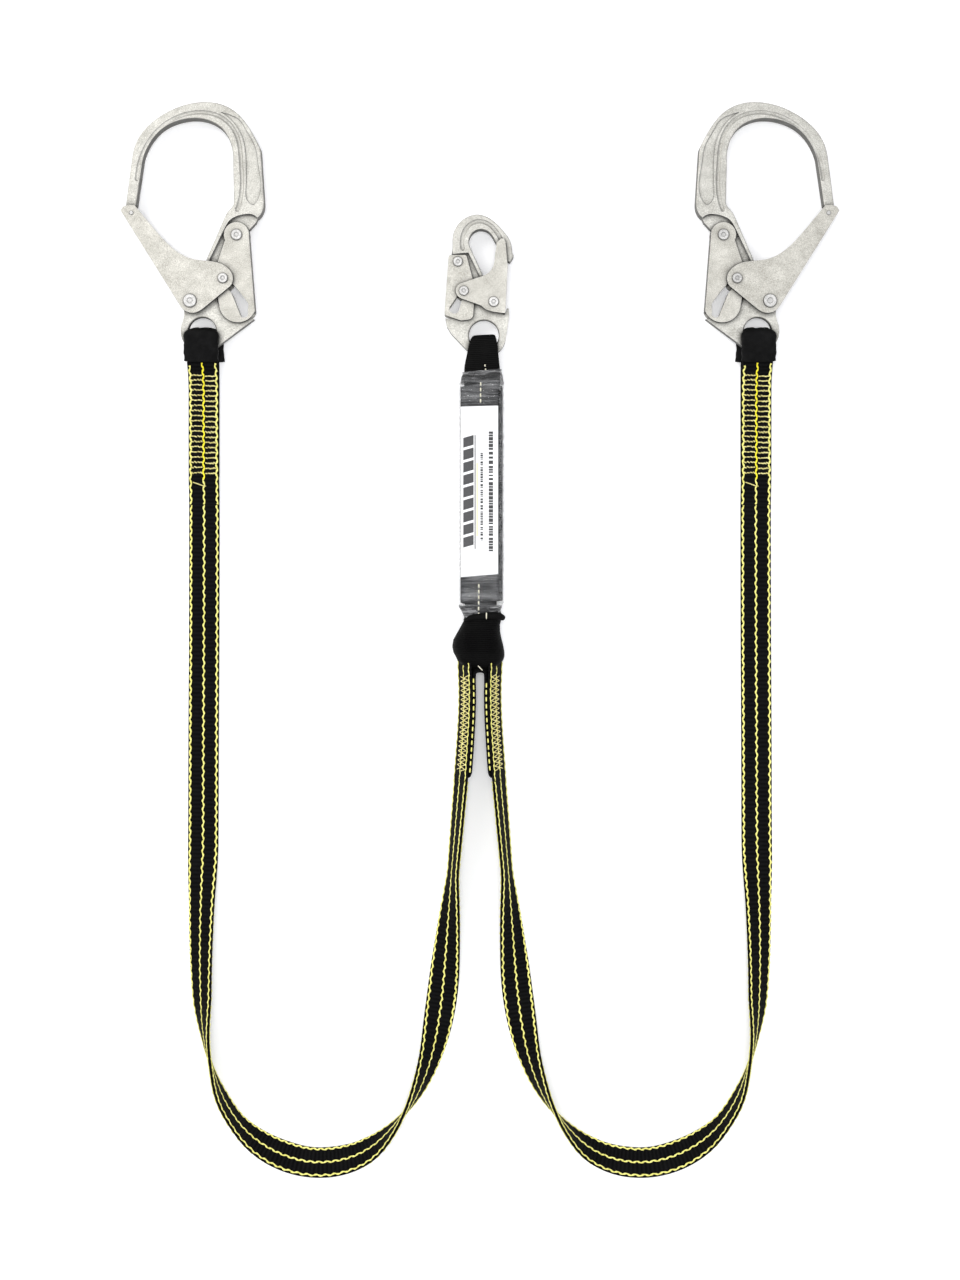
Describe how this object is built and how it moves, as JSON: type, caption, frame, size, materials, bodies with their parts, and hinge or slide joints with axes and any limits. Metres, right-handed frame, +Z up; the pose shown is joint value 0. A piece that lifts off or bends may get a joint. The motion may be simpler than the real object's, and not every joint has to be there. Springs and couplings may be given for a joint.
{
  "type": "shock absorbing lanyard",
  "caption": "Twin-leg webbing fall-arrest lanyard laid flat, with a shock pack, a snap hook and large scaffold hooks whose gates lock.",
  "frame": {"origin": "on the table under the middle of the hooks, shock pack and sewn straps, without the two free legs", "axes": "+X to the right with the snap hook away from the viewer, +Y towards the snap hook, +Z up off the table"},
  "size_m": [0.63, 0.9469, 0.0293],
  "materials": {
    "webbing": "woven polyester, black with yellow tracer lines",
    "sleeve": "tubular black wear sleeve",
    "tear_webbing": "ribbed tear webbing",
    "shrink_film": "clear heat-shrunk film",
    "label_film": "white printed film",
    "forged_steel": "zinc-plated forging, grainy",
    "plate_steel": "zinc-plated pressed sheet",
    "rivet_steel": "bright zinc rivets",
    "spring_steel": "spring wire"
  },
  "bodies": {
    "root": {"tear_webbing_lower": "tear_webbing", "tear_webbing_upper": "tear_webbing", "backup_strap": "webbing", "shrink_cover": "shrink_film", "pack_label": "label_film", "snap_loop": "webbing", "junction_loop": "webbing", "saddle_strap": "webbing", "bridge_strap": "webbing", "left_leg_webbing": "webbing", "left_hook_loop": "webbing", "left_wear_sleeve": "sleeve", "right_leg_webbing": "webbing", "right_hook_loop": "webbing", "right_wear_sleeve": "sleeve"},
    "left_hook": {"left_hook_frame": "forged_steel", "left_lever_rivet": "rivet_steel", "left_gate_rivet": "rivet_steel", "left_gate_spring": "spring_steel", "left_lever_spring": "spring_steel"},
    "left_gate": {"left_gate": "plate_steel", "left_lock_pin": "rivet_steel", "left_nose_pin": "rivet_steel"},
    "left_lever": {"left_lock_lever": "plate_steel"},
    "right_hook": {"right_hook_frame": "forged_steel", "right_lever_rivet": "rivet_steel", "right_gate_rivet": "rivet_steel", "right_gate_spring": "spring_steel", "right_lever_spring": "spring_steel"},
    "right_gate": {"right_gate": "plate_steel", "right_lock_pin": "rivet_steel", "right_nose_pin": "rivet_steel"},
    "right_lever": {"right_lock_lever": "plate_steel"},
    "snap_hook": {"snap_hook_frame": "forged_steel", "snap_lever_rivet": "rivet_steel", "snap_gate_rivet": "rivet_steel", "snap_gate_spring": "spring_steel", "snap_lever_spring": "spring_steel"},
    "snap_gate": {"snap_gate": "plate_steel", "snap_lock_pin": "rivet_steel"},
    "snap_lever": {"snap_lock_lever": "plate_steel"}
  },
  "joints": [
    {"name": "left_swing", "type": "hinge", "parent": "root", "child": "left_hook", "pos_m": [-0.244, 0.0972, 0.011], "axis": [0, 0, 1], "range_deg": [-20, 20]},
    {"name": "left_gate_open", "type": "hinge", "parent": "left_hook", "child": "left_gate", "pos_m": [-0.2542, 0.123, 0.011], "axis": [0, 0, 1], "range_deg": [-40, 0], "stiffness_Nm_per_rad": 0.25, "springref_deg": 20.05},
    {"name": "left_lever_press", "type": "hinge", "parent": "left_hook", "child": "left_lever", "pos_m": [-0.2137, 0.1813, 0.011], "axis": [0, 0, 1], "range_deg": [-12, 0]},
    {"name": "right_swing", "type": "hinge", "parent": "root", "child": "right_hook", "pos_m": [0.244, 0.0972, 0.011], "axis": [0, 0, 1], "range_deg": [-20, 20]},
    {"name": "right_gate_open", "type": "hinge", "parent": "right_hook", "child": "right_gate", "pos_m": [0.2542, 0.123, 0.011], "axis": [0, 0, 1], "range_deg": [0, 40], "stiffness_Nm_per_rad": 0.25, "springref_deg": -20.05},
    {"name": "right_lever_press", "type": "hinge", "parent": "right_hook", "child": "right_lever", "pos_m": [0.2137, 0.1813, 0.011], "axis": [0, 0, 1], "range_deg": [0, 12]},
    {"name": "snap_swing", "type": "hinge", "parent": "root", "child": "snap_hook", "pos_m": [0.0034, 0.0938, 0.01], "axis": [0, 0, 1], "range_deg": [-20, 20]},
    {"name": "snap_gate_open", "type": "hinge", "parent": "snap_hook", "child": "snap_gate", "pos_m": [0.012, 0.1224, 0.01], "axis": [0, 0, 1], "range_deg": [0, 30], "stiffness_Nm_per_rad": 0.25, "springref_deg": -20.05},
    {"name": "snap_lever_press", "type": "hinge", "parent": "snap_hook", "child": "snap_lever", "pos_m": [-0.0194, 0.158, 0.01], "axis": [0, 0, 1], "range_deg": [0, 10]}
  ],
  "couplings": [
    {"joint": "left_lever_press", "follows": "left_gate_open", "ratio": 0.3},
    {"joint": "right_lever_press", "follows": "right_gate_open", "ratio": 0.3},
    {"joint": "snap_lever_press", "follows": "snap_gate_open", "ratio": 0.33333}
  ]
}
